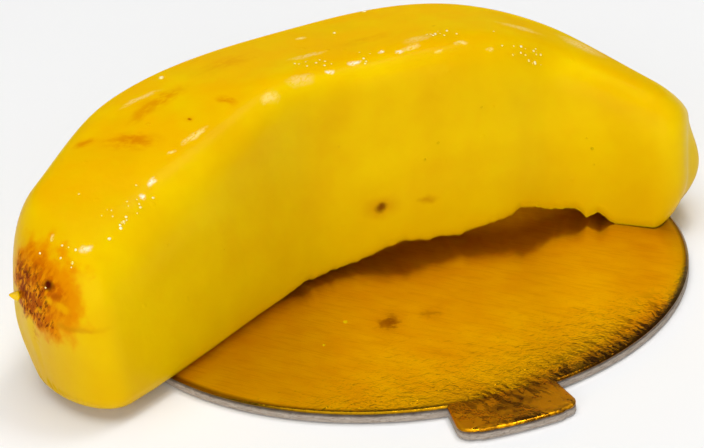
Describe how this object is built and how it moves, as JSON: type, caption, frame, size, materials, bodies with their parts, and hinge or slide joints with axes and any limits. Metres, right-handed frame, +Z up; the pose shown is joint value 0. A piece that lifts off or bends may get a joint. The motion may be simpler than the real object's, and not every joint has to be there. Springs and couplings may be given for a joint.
{
  "type": "banana-shaped mousse cake",
  "caption": "Glossy yellow glazed mousse cake moulded as a curved banana with painted brown tips, resting on a round gold-laminated cake board with a thumb tab.",
  "frame": {"origin": "centre of the round cake board's underside, on the surface that the board stands on", "axes": "+Z up, the thumb tab points to -Y, +X runs along the cake towards its smaller tip; the cake's hollow side looks to -Y"},
  "size_m": [0.1236, 0.108, 0.039],
  "materials": {
    "glaze": "wet gloss, smooth mirror glaze over mousse",
    "greyboard": "matt cut edge of grey card",
    "gold_film": "metallized gold film laminated on card, bright and faintly wrinkled"
  },
  "bodies": {
    "root": {"dessert_body": "glaze", "board_card": "greyboard", "board_foil": "gold_film"}
  },
  "joints": []
}
